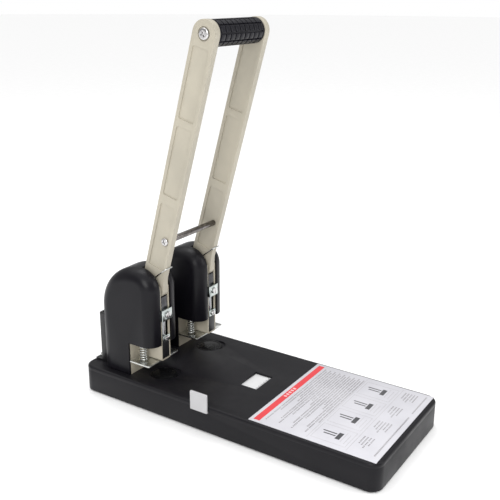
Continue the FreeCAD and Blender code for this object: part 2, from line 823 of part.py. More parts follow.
def make_crossbar_block(name, side):
    """Steel bar behind the holder; its wings reach out through the channel to the springs."""
    body = new_body(f"spring_bar_{name}", tower_place(side))
    inner_half = "channel_inside - slide_gap"
    core = rectangle(f"-({inner_half})", inner_half, "block_back", "spring_inset + 5")
    add(body, "XY", "holder_bottom", "bar_top", core)
    wings = rectangle("-wing_span / 2", "wing_span / 2", "wing_front", "wing_back")
    add(body, "XY", "wing_bottom", "wing_top", wings)
    seats = [circle(f"{a} * spring_offset", "spring_inset", "spring_radius - 1.8") for a in (-1, 1)]
    add(body, "XY", "wing_bottom - 3", "wing_bottom", *seats)
    return body


def make_stem(name, side):
    """Dark stem on the holder that the arm's nose presses."""
    body = new_body(f"push_stem_{name}", tower_place(side))
    wide = "channel_inside - 2 * slide_gap"
    foot = rectangle(f"-({wide})", wide, "punch_inset - 3.2", "punch_inset + 2")
    add(body, "XY", "holder_top", "holder_top + 3", foot)
    slim = "channel_inside - 4 * slide_gap"
    post = rectangle(f"-({slim})", slim, "punch_inset - 3.2", "punch_inset + 2")
    add(body, "XY", "holder_top + 3", "holder_top + stem_height", post)
    return body


# ---------------------------------------------------------------- lever
def make_arm(name, side):
    """Cast arm: flat bar with recessed panels, hub on the axle and a nose that presses the stem."""
    body = new_body(f"arm_{name}", (f"{side} * tower_x", "pivot_y", "pivot_z"), "arm_lean")
    thick = ("-arm_half", "arm_half")
    add(body, "YZ", *thick, rectangle("-edge_half", "edge_half", "edge_half + 14", "arm_reach"))
    add(body, "YZ", *thick, circle("0", "arm_reach", "edge_half"))
    add(body, "YZ", *thick, circle("0", "0", "hub_radius"))
    add(body, "YZ", *thick, circle("nose_y", "nose_z", "nose_radius"))
    knuckle = polygon(
        ("-edge_half", "edge_half + 15"), ("nose_y - nose_radius", "nose_z"), ("nose_y", "nose_z"),
        ("nose_y + 0.48 * nose_radius", "nose_z - 0.86 * nose_radius"),
        ("-0.99 * hub_radius", "0.12 * hub_radius"), ("0", "0"), ("0.99 * hub_radius", "0"),
        ("edge_half", "edge_half + 4"), ("edge_half", "edge_half + 15"),
    )
    add(body, "YZ", *thick, knuckle)
    panel_half = "edge_half - arm_rim"
    spans = (
        ("arm_reach * 0.132", "arm_reach * 0.383"),
        ("arm_reach * 0.418", "arm_reach * 0.676"),
        ("arm_reach * 0.703", "arm_reach - edge_half"),
    )
    panels = [rectangle(f"-({panel_half})", panel_half, low, high) for low, high in spans]
    cut(body, "YZ", "arm_half - panel_recess", "arm_half", *panels)
    cut(body, "YZ", "-arm_half", "-arm_half + panel_recess", *panels)

    def panel_corner(edge):
        return runs_along(edge, 0) and near(edge.Length, value("panel_recess"))

    round_edges(body, "2", panel_corner)
    cut(body, "YZ", "-arm_half", "-arm_half + hub_recess", circle("0", "0", "coil_radius + coil_wire + 1.1"))
    bores = [
        circle("0", "0", "axle_radius + fit_gap"),
        circle("0", "arm_reach", "rod_radius"),
        circle("-crossbar_offset", "crossbar_reach", "crossbar_radius"),
    ]
    cut(body, "YZ", *thick, *bores)
    seat = circle("0", "arm_reach", "rod_radius + 2.4")
    if side < 0:
        cut(body, "YZ", "-arm_half", "-arm_half + panel_recess", seat)
    else:
        cut(body, "YZ", "arm_half - panel_recess", "arm_half", seat)
    return body


def make_rod(label, y, z, radius, screw_hole, length):
    """Round rod across the lever with a tapped hole in each end."""
    body = new_body(label, ("0", y, z))
    half = f"({length}) / 2"
    add(body, "YZ", f"-{half}", half, circle("0", "0", radius))
    for start, end in ((f"-{half}", f"-{half} + 9"), (f"{half} - 9", half)):
        cut(body, "YZ", start, end, circle("0", "0", screw_hole))
    return body


def make_rod_screws(label, y, z, seat, head, shank, proud):
    """Round-head screws that hold a rod's ends, left and right."""
    body = new_body(label, ("0", y, z))
    add(body, "YZ", seat, f"{seat} + {proud}", circle("0", "0", head))
    add(body, "YZ", f"-({seat}) - {proud}", f"-({seat})", circle("0", "0", head))
    add(body, "YZ", f"{seat} - 8", seat, circle("0", "0", shank))
    add(body, "YZ", f"-({seat})", f"-({seat}) + 8", circle("0", "0", shank))
    outside = value(f"{seat} + {proud}")

    def brim(edge):
        return isinstance(edge.Curve, Part.Circle) and near(abs(middle(edge).x), outside)

    round_edges(body, f"{proud} * 0.6", brim)
    return body


def make_grip():
    """Rubber sleeve on the rod between the arms, ringed by grooves."""
    length = "hole_spacing - arm_sheet"
    body = new_body("grip_sleeve", ("0", "grip_y", "grip_z"))
    half = f"({length}) / 2"
    add(body, "YZ", f"-{half}", half, circle("0", "0", "grip_radius"), circle("0", "0", "rod_radius"))
    grooves = 9
    for number in range(grooves):
        middle_x = f"({length} - 10) * ({number} + 0.5) / {grooves} - ({length} - 10) / 2"
        ring = [circle("0", "0", "grip_radius + 1"), circle("0", "0", "grip_radius - 1")]
        cut(body, "YZ", f"{middle_x} - 0.5", f"{middle_x} + 0.5", *ring)
    return body


def make_torsion_leg(name, side):
    """Leg of the torsion spring that rides with the arm and hooks round its front edge."""
    wire = value("coil_wire")
    plane = -value("arm_half") - wire - 0.2
    front = -value("edge_half") - wire - 0.1
    points = [
        (plane, 4.0, 9.0),
        (plane, -2.6, 25.1),
        (plane, front, 39.5),
        (value("arm_half") + 1.5, front, 39.5),
    ]
    shape = bent_wire(points, 1.6, wire)
    place = [value(formula) for formula in (f"{side} * tower_x", "pivot_y", "pivot_z")]
    turn = Rotation(Vector(1, 0, 0), value("arm_lean"))
    return solid_feature(f"torsion_leg_{name}", shape, place, turn)


def crossbar_place():
    """The crossbar's axis, after the arm's lean."""
    y = "pivot_y - crossbar_offset * cos(arm_lean) - crossbar_reach * sin(arm_lean)"
    z = "pivot_z - crossbar_offset * sin(arm_lean) + crossbar_reach * cos(arm_lean)"
    return y, z


def make_rivets(name, side):
    """Rivets between the channel's floor and the stripper plate."""
    body = new_body(f"stripper_rivets_{name}", tower_place(side))
    rows = ("spring_inset - 3", "spring_inset + 6")
    add(body, "XY", "throat_height", "channel_floor", *[circle("0", row, "1.5") for row in rows])
    return body


# ---------------------------------------------------------------- the whole punch
def build():
    make_lid()
    make_housing()
    make_feet()
    make_base_screws()
    make_label()
    make_side_guide()
    make_scale()
    make_tie_plate()
    make_screws("tie_screws", ("0", "tower_y", "base_height"), tie_spots(), "tie_sheet", "14")
    for name, side in SIDES.items():
        make_disc(name, side)
        make_cover(name, side)
        make_frame(name, side)
        make_stripper(name, side)
        make_rivets(name, side)
        make_guide_block(name, side)
        make_punch_guide(name, side)
        guide_middle = "(block_top + guide_top) / 2"
        make_front_screw(f"guide_screw_{name}", side, guide_middle, "channel_front - 1.2", "2.8")
        make_screws(f"frame_screws_{name}", tower_place(side), flange_spots(), "frame_sheet", "14")
        make_axle(name, side)
        make_return_springs(name, side)
        make_torsion_coil(name, side)
        make_punch(name, side)
        make_holder(name, side)
        make_front_screw(f"clamp_screw_{name}", side, "holder_bottom + 6", "-2", "3.4")
        make_crossbar_block(name, side)
        make_stem(name, side)
        make_arm(name, side)
        make_torsion_leg(name, side)
    seat = "tower_x + arm_half - panel_recess"
    make_rod("grip_rod", "grip_y", "grip_z", "rod_radius", "2", f"2 * ({seat})")
    make_rod_screws("grip_screws", "grip_y", "grip_z", seat, "rod_radius + 2", "2", "2.4")
    y, z = crossbar_place()
    make_rod("crossbar", y, z, "crossbar_radius", "1.5", f"2 * ({seat})")
    make_rod_screws("crossbar_screws", y, z, seat, "crossbar_radius + 1.3", "1.5", "2")
    make_grip()


def write_parts():
    """Check every object, then write each piece to its own file."""
    doc.recompute()
    for item in doc.Objects:
        if "Invalid" in item.State or "Error" in item.State:
            raise RuntimeError(f"{item.Label} failed: {item.State}")
    pieces = [o for o in doc.Objects if o.TypeId in ("PartDesign::Body", "Part::Feature")]
    for piece in pieces:
        if piece.Shape.isNull() or not piece.Shape.isValid():
            raise RuntimeError(f"{piece.Label} has no valid shape")
    os.makedirs("parts", exist_ok=True)
    for piece in pieces:
        piece.Shape.exportStep(f"parts/{piece.Label}.step")
    print(len(pieces), "pieces written")


build()
write_parts()
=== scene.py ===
# %% [markdown]
# # A two-hole desk punch, dressed for a studio picture
#
# The mechanical model arrives as a fixed frame of small solids that already have their true places.
# This notebook gives each of them its finish, rounds the edges of a copy of most of them, remakes the ones
# whose shape the eye rests on, such as the padded grip and the domed screws, and sets the light and the
# camera. Every piece stays where its solid is, so the lever, the punches and the side guide still move.

# %% Load the frame and remember its box
import json
import math

import bpy
from mathutils import Matrix, Vector


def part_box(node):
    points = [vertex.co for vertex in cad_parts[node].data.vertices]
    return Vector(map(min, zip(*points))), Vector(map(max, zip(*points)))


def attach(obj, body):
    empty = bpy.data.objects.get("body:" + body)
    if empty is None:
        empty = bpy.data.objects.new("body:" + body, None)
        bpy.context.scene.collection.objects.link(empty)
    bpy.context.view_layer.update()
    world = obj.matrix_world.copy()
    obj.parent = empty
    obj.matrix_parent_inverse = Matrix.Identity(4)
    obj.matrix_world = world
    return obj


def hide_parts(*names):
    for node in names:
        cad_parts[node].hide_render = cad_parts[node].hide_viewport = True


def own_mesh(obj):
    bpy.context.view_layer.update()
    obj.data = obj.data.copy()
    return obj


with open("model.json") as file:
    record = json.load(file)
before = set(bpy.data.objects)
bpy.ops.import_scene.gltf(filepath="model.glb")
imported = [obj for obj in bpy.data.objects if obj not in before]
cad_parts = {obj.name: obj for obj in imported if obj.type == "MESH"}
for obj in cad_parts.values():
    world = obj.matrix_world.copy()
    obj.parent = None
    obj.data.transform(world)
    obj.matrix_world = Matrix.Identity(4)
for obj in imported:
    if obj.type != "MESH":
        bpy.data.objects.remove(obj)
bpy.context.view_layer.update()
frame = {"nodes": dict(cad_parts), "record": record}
MM = 0.001
SIDES = {"left": -1, "right": 1}
bodies = frame["record"]["behaviour"]["bodies"]
body_of_node = {node: body for body, nodes in bodies.items() for node in nodes}

# %% [markdown]
# Positions are read from the frame instead of being typed in, so a change of the model moves the
# dressing with it. These few are used again and again: the places of the two towers and the axis of
# the grip.

# %% Places read from the frame


def low_and_high(node):
    """The two corners of a node's box as vectors."""
    low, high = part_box(node)
    return Vector(low), Vector(high)


def centre_of(node):
    low, high = low_and_high(node)
    return (low + high) / 2


TOWER_X = {name: centre_of(f"cover_{name}").x for name in SIDES}
GRIP_AXIS = centre_of("grip_sleeve")
print("towers", TOWER_X, "grip", GRIP_AXIS)

# %% [markdown]
# Blender's operators act on whatever is selected, and the loader leaves its solids selected. A small
# helper clears the selection first, and another one picks a single object, so that no later step
# touches a piece by accident.

# %% Selection and editing helpers


def pick(*objects):
    """Select just these objects, and make the first one active."""
    bpy.ops.object.select_all(action="DESELECT")
    for thing in objects:
        thing.select_set(True)
    bpy.context.view_layer.objects.active = objects[0]


def apply_modifier(piece, kind, **settings):
    """Add a modifier with these settings and apply it at once."""
    pick(piece)
    modifier = piece.modifiers.new(kind.title(), kind)
    for key, setting in settings.items():
        setattr(modifier, key, setting)
    bpy.ops.object.modifier_apply(modifier=modifier.name)


def settle(piece):
    """Move the piece's place, turn and scale into its mesh."""
    pick(piece)
    bpy.ops.object.transform_apply(location=True, rotation=True, scale=True)


def smooth(piece, degrees=35):
    pick(piece)
    bpy.ops.object.shade_smooth_by_angle(angle=math.radians(degrees))


def join(name, pieces):
    """One piece made of several."""
    pick(*pieces)
    if len(pieces) > 1:
        bpy.ops.object.join()
    whole = bpy.context.object
    whole.name = name
    whole.data.name = name
    return whole


def added(name):
    """The primitive that was just added, named."""
    piece = bpy.context.object
    piece.name = name
    piece.data.name = name
    return piece


def choose(piece, test, kind="FACE"):
    """In edit mode, select only the faces, edges or vertices whose centre passes the test."""
    bpy.ops.mesh.select_mode(type=kind)
    bpy.ops.mesh.select_all(action="DESELECT")
    bpy.ops.object.mode_set(mode="OBJECT")
    mesh = piece.data
    if kind == "FACE":
        for face in mesh.polygons:
            face.select = test(face.center, face.normal)
    elif kind == "EDGE":
        for edge in mesh.edges:
            ends = [mesh.vertices[i].co for i in edge.vertices]
            edge.select = test((ends[0] + ends[1]) / 2, ends[1] - ends[0])
    else:
        for corner in mesh.vertices:
            corner.select = test(corner.co, corner.normal)
    bpy.ops.object.mode_set(mode="EDIT")


# %% [markdown]
# ## Camera
#
# The camera stands to the left and in front of the punch, a little above it, with a lens a bit longer
# than normal, as in a catalogue picture. Its turn is worked out from a heading, a tilt and a small
# roll, which are easier to adjust than a matrix.

# %% Set the camera
CAMERA_SPOT = Vector((-0.60334, -0.38698, 0.41102))
HEADING = math.radians(33.09)
TILT = math.radians(18.61)
ROLL = math.radians(0.34)
LENS = 56.29
SENSOR = 36

level = Vector((math.cos(HEADING), math.sin(HEADING), 0))
right = Vector((math.sin(HEADING), -math.cos(HEADING), 0))
ahead = level * math.cos(TILT) - Vector((0, 0, 1)) * math.sin(TILT)
upward = level * math.sin(TILT) + Vector((0, 0, 1)) * math.cos(TILT)
across = right * math.cos(ROLL) + upward * math.sin(ROLL)
above = upward * math.cos(ROLL) - right * math.sin(ROLL)

bpy.ops.object.camera_add(location=CAMERA_SPOT)
camera = bpy.context.object
camera.data.lens = LENS
camera.data.sensor_width = SENSOR
turn = Matrix((across, above, -ahead)).transposed()
camera.matrix_world = Matrix.Translation(CAMERA_SPOT) @ turn.to_4x4()
bpy.context.scene.camera = camera
bpy.context.scene.view_settings.view_transform = "Standard"
print("camera looks along", tuple(round(v, 3) for v in ahead))

# %% [markdown]
# ## Light and floor
#
# A catalogue picture has almost no shadow: the object stands on white paper in a white room. The room
# glows evenly, and a very wide light in the ceiling whitens the paper. A large soft lamp from the
# left, a weaker one from the front right and one from above give the dark plastic its highlights.
# The wall that is seen stays pure white while the room's own glow is dimmer, so that plated parts
# have something darker to mirror.

# %% Sky, lamps and paper floor
ROOM_GLOW = 0.42
CEILING_SPREAD = math.radians(100)
CEILING_STRENGTH = 1.9
FLOOR_RADIUS = 12

sky = bpy.data.worlds.new("white_room")
sky.use_nodes = True
sky_nodes = sky.node_tree.nodes
sky_links = sky.node_tree.links
room_glow = sky_nodes["Background"]
room_glow.inputs["Color"].default_value = (1.0, 1.0, 1.0, 1)
room_glow.inputs["Strength"].default_value = ROOM_GLOW
paper_wall = sky_nodes.new("ShaderNodeBackground")
paper_wall.inputs["Color"].default_value = (1.0, 1.0, 1.0, 1)
seen = sky_nodes.new("ShaderNodeLightPath")
either = sky_nodes.new("ShaderNodeMixShader")
sky_links.new(seen.outputs["Is Camera Ray"], either.inputs["Fac"])
sky_links.new(room_glow.outputs["Background"], either.inputs[1])
sky_links.new(paper_wall.outputs["Background"], either.inputs[2])
sky_links.new(either.outputs["Shader"], sky_nodes["World Output"].inputs["Surface"])
bpy.context.scene.world = sky


def soft_lamp(name, spot, aim, size, watts):
    """A square lamp at spot that shines on aim."""
    bpy.ops.object.light_add(type="AREA", location=spot)
    lamp = bpy.context.object
    lamp.name = name
    lamp.data.size = size
    lamp.data.energy = watts
    lamp.rotation_euler = (Vector(aim) - Vector(spot)).to_track_quat("-Z", "Y").to_euler()


soft_lamp("key_lamp", (-1.5, -0.5, 0.9), (0, 0, 0.15), 0.9, 14)
soft_lamp("fill_lamp", (0.7, -1.5, 0.8), (0, 0, 0.1), 0.8, 7)
soft_lamp("top_lamp", (0.2, 0.5, 1.6), (0, 0, 0.1), 0.8, 6)

bpy.ops.object.light_add(type="SUN", location=(0, 0, 2))
ceiling = bpy.context.object
ceiling.name = "ceiling_light"
ceiling.data.angle = CEILING_SPREAD
ceiling.data.energy = CEILING_STRENGTH

bpy.ops.mesh.primitive_circle_add(vertices=96, radius=FLOOR_RADIUS, fill_type="NGON", location=(0, 0, 0))
floor = added("paper_floor")

# %% [markdown]
# ## Finishes
#
# Every finish starts from Blender's standard shader and gets three kinds of detail from noise that is
# fixed to the object: a slight change of tone, a slight change of gloss, and a fine relief. Real
# plastic, paint and plated steel all have these, at scales from a tenth of a millimetre to some
# centimetres, and without them a surface looks like computer graphics.

# %% Finish helpers


class Finish:
    """A named material with its shader, and helpers that add detail to it."""

    def __init__(self, name, colour, roughness, metallic=0.0, specular=0.5):
        self.material = bpy.data.materials.new(name)
        self.material.use_nodes = True
        self.nodes = self.material.node_tree.nodes
        self.links = self.material.node_tree.links
        self.shader = self.nodes["Principled BSDF"]
        self.shader.inputs["Base Color"].default_value = (*colour, 1)
        self.shader.inputs["Roughness"].default_value = roughness
        self.shader.inputs["Metallic"].default_value = metallic
        self.shader.inputs["Specular IOR Level"].default_value = specular
        self.place = self.nodes.new("ShaderNodeTexCoord")
        self.relief = None

    def stretched(self, stretch):
        """Object coordinates, squeezed along some axes to draw the pattern out."""
        mapping = self.nodes.new("ShaderNodeMapping")
        mapping.inputs["Scale"].default_value = stretch
        self.links.new(self.place.outputs["Object"], mapping.inputs["Vector"])
        return mapping.outputs["Vector"]

    def noise(self, size, detail=3, stretch=(1, 1, 1)):
        """Cloudy noise whose blots are about this many metres wide."""
        texture = self.nodes.new("ShaderNodeTexNoise")
        texture.inputs["Scale"].default_value = 1 / size
        texture.inputs["Detail"].default_value = detail
        self.links.new(self.stretched(stretch), texture.inputs["Vector"])
        return texture.outputs["Fac"]

    def pits(self, size):
        """Cell pattern for moulded grain."""
        texture = self.nodes.new("ShaderNodeTexVoronoi")
        texture.inputs["Scale"].default_value = 1 / size
        self.links.new(self.place.outputs["Object"], texture.inputs["Vector"])
        return texture.outputs["Distance"]

    def tone(self, pattern, dark, light):
        """Let the colour wander between two tones."""
        ramp = self.nodes.new("ShaderNodeValToRGB")
        ramp.color_ramp.elements[0].position = 0.35
        ramp.color_ramp.elements[1].position = 0.65
        ramp.color_ramp.elements[0].color = (*dark, 1)
        ramp.color_ramp.elements[1].color = (*light, 1)
        self.links.new(pattern, ramp.inputs["Fac"])
        self.links.new(ramp.outputs["Color"], self.shader.inputs["Base Color"])

    def gloss(self, pattern, low, high):
        """Let the roughness wander between two values."""
        spread = self.nodes.new("ShaderNodeMapRange")
        spread.inputs["From Min"].default_value = 0.3
        spread.inputs["From Max"].default_value = 0.7
        spread.inputs["To Min"].default_value = low
        spread.inputs["To Max"].default_value = high
        self.links.new(pattern, spread.inputs["Value"])
        self.links.new(spread.outputs["Result"], self.shader.inputs["Roughness"])

    def bump(self, pattern, height, strength=1.0):
        """Relief of this height in metres, on top of any relief that is there."""
        relief = self.nodes.new("ShaderNodeBump")
        relief.inputs["Distance"].default_value = height
        relief.inputs["Strength"].default_value = strength
        self.links.new(pattern, relief.inputs["Height"])
        if self.relief:
            self.links.new(self.relief, relief.inputs["Normal"])
        self.relief = relief.outputs["Normal"]
        self.links.new(self.relief, self.shader.inputs["Normal"])


# %% [markdown]
# The base and the tower covers are satin injection-moulded plastic. It is nearly black with a trace
# of violet, and has a spark-eroded grain finer than a millimetre, which breaks up the highlights.

# %% Moulded plastic finishes


def moulded_plastic(name, dark, light, gloss, grain=0.0006, depth=0.00002):
    finish = Finish(name, dark, gloss, specular=0.2)
    finish.tone(finish.noise(0.05), dark, light)
    finish.gloss(finish.noise(0.02), gloss - 0.05, gloss + 0.05)
    finish.bump(finish.noise(grain, 2), depth, 0.6)
    finish.bump(finish.pits(grain * 0.7), depth * 0.5, 0.4)
    return finish.material


cover_plastic = moulded_plastic("cover_plastic", (0.0045, 0.0042, 0.006), (0.006, 0.0056, 0.008), 0.34)
base_plastic = moulded_plastic("base_plastic", (0.006, 0.0056, 0.0075), (0.0085, 0.008, 0.010), 0.40)
disc_plastic = moulded_plastic("disc_plastic", (0.004, 0.004, 0.0045), (0.006, 0.006, 0.0065), 0.28)
tab_plastic = moulded_plastic("tab_plastic", (0.47, 0.465, 0.475), (0.52, 0.515, 0.525), 0.36, 0.001)
grip_rubber = moulded_plastic("grip_rubber", (0.004, 0.004, 0.007), (0.008, 0.0075, 0.012), 0.34)
foot_rubber = moulded_plastic("foot_rubber", (0.012, 0.012, 0.012), (0.02, 0.02, 0.02), 0.7)

# %% [markdown]
# The arms and frames are sheet steel with a powder coat. Powder melts into a skin with a slight
# orange peel of two or three millimetres, smooth between its bumps, and stays even in colour.

# %% Painted steel finishes


def powder_coat(name, dark, light, gloss, peel=0.0022, depth=0.00004):
    finish = Finish(name, dark, gloss, specular=0.5)
    finish.tone(finish.noise(0.035), dark, light)
    finish.gloss(finish.noise(0.012), gloss - 0.04, gloss + 0.06)
    finish.bump(finish.noise(peel, 1), depth, 0.5)
    finish.bump(finish.noise(peel * 0.2, 2), depth * 0.15, 0.5)
    return finish.material


cream_paint = powder_coat("cream_paint", (0.40, 0.37, 0.30), (0.45, 0.415, 0.335), 0.42)
frame_paint = powder_coat("frame_paint", (0.40, 0.365, 0.29), (0.46, 0.42, 0.335), 0.38)
black_coat = powder_coat("black_coat", (0.006, 0.006, 0.007), (0.010, 0.010, 0.011), 0.34)

# %% [markdown]
# Plated steel is a metal all through: its colour is the colour of its reflection. Zinc is a little
# cloudy, with spangles and rolling marks along the strip, chrome plate is almost a mirror, and
# blackened steel swallows most of the light.

# %% Metal finishes


def plated_metal(name, dark, light, gloss, draw=(1, 1, 1), scratch=0.0005, depth=0.000006):
    finish = Finish(name, dark, gloss, metallic=1.0)
    finish.tone(finish.noise(0.006, 4), dark, light)
    finish.gloss(finish.noise(0.004, 3, draw), gloss * 0.7, gloss * 1.3)
    finish.bump(finish.noise(scratch, 2, draw), depth, 0.5)
    return finish.material


ALONG_X = (0.05, 1, 1)
ALONG_Z = (1, 1, 0.05)
zinc_plate = plated_metal("zinc_plate", (0.50, 0.51, 0.50), (0.70, 0.71, 0.68), 0.24, ALONG_X)
guide_plate = plated_metal("guide_plate", (0.34, 0.38, 0.37), (0.62, 0.66, 0.64), 0.20, ALONG_Z)
chrome_plate = plated_metal("chrome_plate", (0.52, 0.51, 0.51), (0.66, 0.65, 0.65), 0.10)
bar_steel = plated_metal("bar_steel", (0.13, 0.12, 0.115), (0.24, 0.22, 0.21), 0.22, ALONG_X)
punch_steel = plated_metal("punch_steel", (0.28, 0.29, 0.30), (0.42, 0.43, 0.43), 0.20, ALONG_Z)
dark_steel = plated_metal("dark_steel", (0.07, 0.07, 0.075), (0.12, 0.12, 0.125), 0.36, ALONG_Z)
spring_wire = plated_metal("spring_wire", (0.50, 0.51, 0.50), (0.72, 0.73, 0.71), 0.16)

# %% [markdown]
# The instruction card is printed on coated white stock, and the scale strip is white plastic. Inks
# are thin films on them. The floor is white paper, with a very faint tooth.

# %% Card, ink and paper finishes


def sheet_stock(name, dark, light, gloss, tooth=0.0004, depth=0.000008):
    finish = Finish(name, dark, gloss, specular=0.4)
    finish.tone(finish.noise(0.03), dark, light)
    finish.gloss(finish.noise(0.01), gloss - 0.04, gloss + 0.04)
    finish.bump(finish.noise(tooth, 3), depth, 0.4)
    return finish.material


card_stock = sheet_stock("card_stock", (0.53, 0.525, 0.56), (0.57, 0.565, 0.60), 0.35)
strip_stock = sheet_stock("strip_stock", (0.60, 0.60, 0.605), (0.66, 0.66, 0.665), 0.38)
red_ink = sheet_stock("red_ink", (0.60, 0.04, 0.05), (0.66, 0.05, 0.06), 0.34)
grey_ink = sheet_stock("grey_ink", (0.22, 0.21, 0.22), (0.34, 0.33, 0.34), 0.4)
dark_ink = sheet_stock("dark_ink", (0.05, 0.05, 0.055), (0.09, 0.09, 0.095), 0.4)
pale_ink = sheet_stock("pale_ink", (0.80, 0.42, 0.43), (0.84, 0.50, 0.50), 0.36)
line_ink = sheet_stock("line_ink", (0.38, 0.37, 0.38), (0.46, 0.45, 0.46), 0.4)
floor.data.materials.append(sheet_stock("floor_paper", (0.94, 0.94, 0.94), (0.96, 0.96, 0.96), 0.9, 0.003))
print("finishes", len(bpy.data.materials))

# %% [markdown]
# ## Refined copies of the mechanical solids
#
# A solid from a mechanical program has knife-sharp edges, which nothing real has: they catch no
# light. The solid itself is left alone. A copy is welded together, its flat areas are made single
# faces, its sharp edges get a small rounding, and it is shaded smooth where its faces meet gently.

# %% Helper: refine a node


def dress(piece, body, slot, finish, *nodes):
    """Give a piece its finish and its body, and hide the nodes it stands for; slot is not used."""
    piece.data.materials.clear()
    piece.data.materials.append(finish)
    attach(piece, body)
    if nodes:
        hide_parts(*nodes)
    return piece


def copy_of(node):
    """A welded copy of a node's mesh, as a free object."""
    piece = bpy.data.objects.new(f"{node}_piece", frame["nodes"][node].data.copy())
    bpy.context.scene.collection.objects.link(piece)
    pick(piece)
    bpy.ops.mesh.customdata_custom_splitnormals_clear()
    bpy.ops.object.mode_set(mode="EDIT")
    bpy.ops.mesh.select_all(action="SELECT")
    bpy.ops.mesh.remove_doubles(threshold=1e-6)
    bpy.ops.mesh.dissolve_limited(angle_limit=math.radians(0.6))
    bpy.ops.object.mode_set(mode="OBJECT")
    return piece


def refine(node, slot, finish, rounding=0.3, steps=2):
    """A copy of the node with its sharp edges rounded by this many millimetres."""
    piece = copy_of(node)
    if rounding:
        bevel = dict(width=rounding * MM, segments=steps, limit_method="ANGLE")
        apply_modifier(piece, "BEVEL", angle_limit=math.radians(35), **bevel)
    smooth(piece)
    return dress(piece, body_of_node[node], slot, finish, node)


# %% [markdown]
# ## The base
#
# The base is a shallow box of two mouldings that meet at a seam: the lid with its rounded rim, and
# the housing that stands on four rubber feet. Screws from below hold them together.

# %% Base, feet, screws, discs and tie plate
refine("base_lid", "black_plastic", base_plastic, 0.25)
refine("base_housing", "black_plastic", base_plastic, 0.25)
refine("rubber_feet", "rubber", foot_rubber, 0.5)
refine("base_screws", "zinc", zinc_plate, 0.15)
refine("rear_tie_plate", "black_steel", black_coat, 0.3)
refine("tie_screws", "zinc", zinc_plate, 0.2)
refine("instruction_label", "card", card_stock, 0.08)
refine("guide_scale", "card", strip_stock, 0.12)
refine("side_guide", "light_plastic", tab_plastic, 0.3)
for name in SIDES:
    refine(f"cutting_disc_{name}", "disc_plastic", disc_plastic, 0.2)

# %% [markdown]
# The card and the strip are printed. Print could be drawn by a material, but small marks drawn by
# mathematics blur when the look is exported, so each mark is a film a few hundredths of a millimetre
# thick, added as a box in edit mode. The marks only stand for lines of writing: they are short bars
# in groups, and none of them is a letter.

# %% Helper: a sheet of printed marks
FILM = 0.06 * MM


def printed(name, marks, top):
    """One piece of flat marks; a mark is (x0, x1, y0, y1) in metres on the plane at this height."""
    bpy.ops.mesh.primitive_plane_add(size=1, location=(0, 0, top))
    sheet = added(name)
    bpy.ops.object.mode_set(mode="EDIT")
    bpy.ops.mesh.select_all(action="SELECT")
    bpy.ops.mesh.delete(type="VERT")
    for x0, x1, y0, y1 in marks:
        place = ((x0 + x1) / 2, (y0 + y1) / 2, 0)
        bpy.ops.mesh.primitive_plane_add(size=1, location=Vector(place) + Vector((0, 0, top)))
        size = (x1 - x0, y1 - y0, 1)
        bpy.ops.transform.resize(value=size, center_override=(place[0], place[1], top))
    bpy.ops.mesh.select_all(action="SELECT")
    bpy.ops.mesh.extrude_region_move(TRANSFORM_OT_translate={"value": (0, 0, FILM)})
    bpy.ops.mesh.select_all(action="SELECT")
    bpy.ops.mesh.normals_make_consistent(inside=False)
    bpy.ops.object.mode_set(mode="OBJECT")
    settle(sheet)
    return sheet


card_low, card_high = low_and_high("instruction_label")
CARD_TOP = card_high.z - FILM * 0.4
CARD_BACK = card_high.y
EDGE = 5 * MM
MARK = 0.012
MARK_PITCH = 0.0175
MARK_ROOM = 0.013
HAIRLINE = 0.35 * MM


def across_card(start, stop, depth, thick):
    """A mark from start to stop across the card (0 to 1), at this depth from its rear edge."""
    reach = card_high.x - card_low.x - 2 * EDGE
    x0 = card_high.x - EDGE - stop * reach
    x1 = card_high.x - EDGE - start * reach
    return (x0, x1, CARD_BACK - depth - thick, CARD_BACK - depth)


def words(start, stop, depth, tall, first, gap=0.006):
    """A line of short bars in groups of three to seven; first sets the order of the groups."""
    marks = []
    at = start
    length = first
    while at + MARK_ROOM <= stop:
        length = (length * 7 + 3) % 11
        for _ in range(3 + length % 5):
            if at + MARK_ROOM > stop:
                break
            marks.append(across_card(at, at + MARK, depth, tall))
            at += MARK_PITCH
        at += gap
    return marks


# %% [markdown]
# The card has a red bar along its rear edge, rows of small print under it, four groups of short
# lines and one long line in front. Each colour of ink is one piece.

# %% Print on the instruction card
BAR_DEPTH, BAR_TALL = 3.6 * MM, 6.4 * MM
bar = across_card(-0.012, 1.012, BAR_DEPTH, BAR_TALL)
dress(printed("card_red_bar", [bar], CARD_TOP), "base", "card", red_ink)
title = []
for step in range(5):
    start = 0.44 + step * 0.035
    title.append(across_card(start, start + 0.02, BAR_DEPTH + 1.6 * MM, BAR_TALL / 2))
dress(printed("card_title", title, CARD_TOP + FILM), "base", "card", pale_ink)

LINE_COUNT = 17
FIRST_LINE = 13.2 * MM
LINE_PITCH = 2.62 * MM
PAIR_GAP = 0.25 * MM
LINE_ENDS = (0.97, 0.55, 0.90, 0.80, 0.62)
lines = []
for row in range(LINE_COUNT):
    depth = FIRST_LINE + row * LINE_PITCH + (row // 2) * PAIR_GAP
    start = 0.02 if row % 2 == 0 else 0.05
    lines += words(start, LINE_ENDS[row * 3 % 5], depth, 1.35 * MM, row + 2)

COLUMNS = 4
COLUMN_PITCH = 0.25
NOTES_DEPTH = 103 * MM
for column in range(COLUMNS):
    start = 0.02 + column * COLUMN_PITCH
    for row in range(5 - column % 2):
        stop = start + 0.12 + 0.02 * (row % 3)
        lines += words(start, stop, NOTES_DEPTH + row * 3 * MM, 1.2 * MM, row + column)

FOOT_LINE = 123 * MM
lines += words(0.0, 0.30, FOOT_LINE, 1.5 * MM, 4, 0.0)
lines += words(0.36, 0.98, FOOT_LINE, 1.5 * MM, 5, 0.0)
dress(printed("card_lines", lines, CARD_TOP), "base", "card", grey_ink)

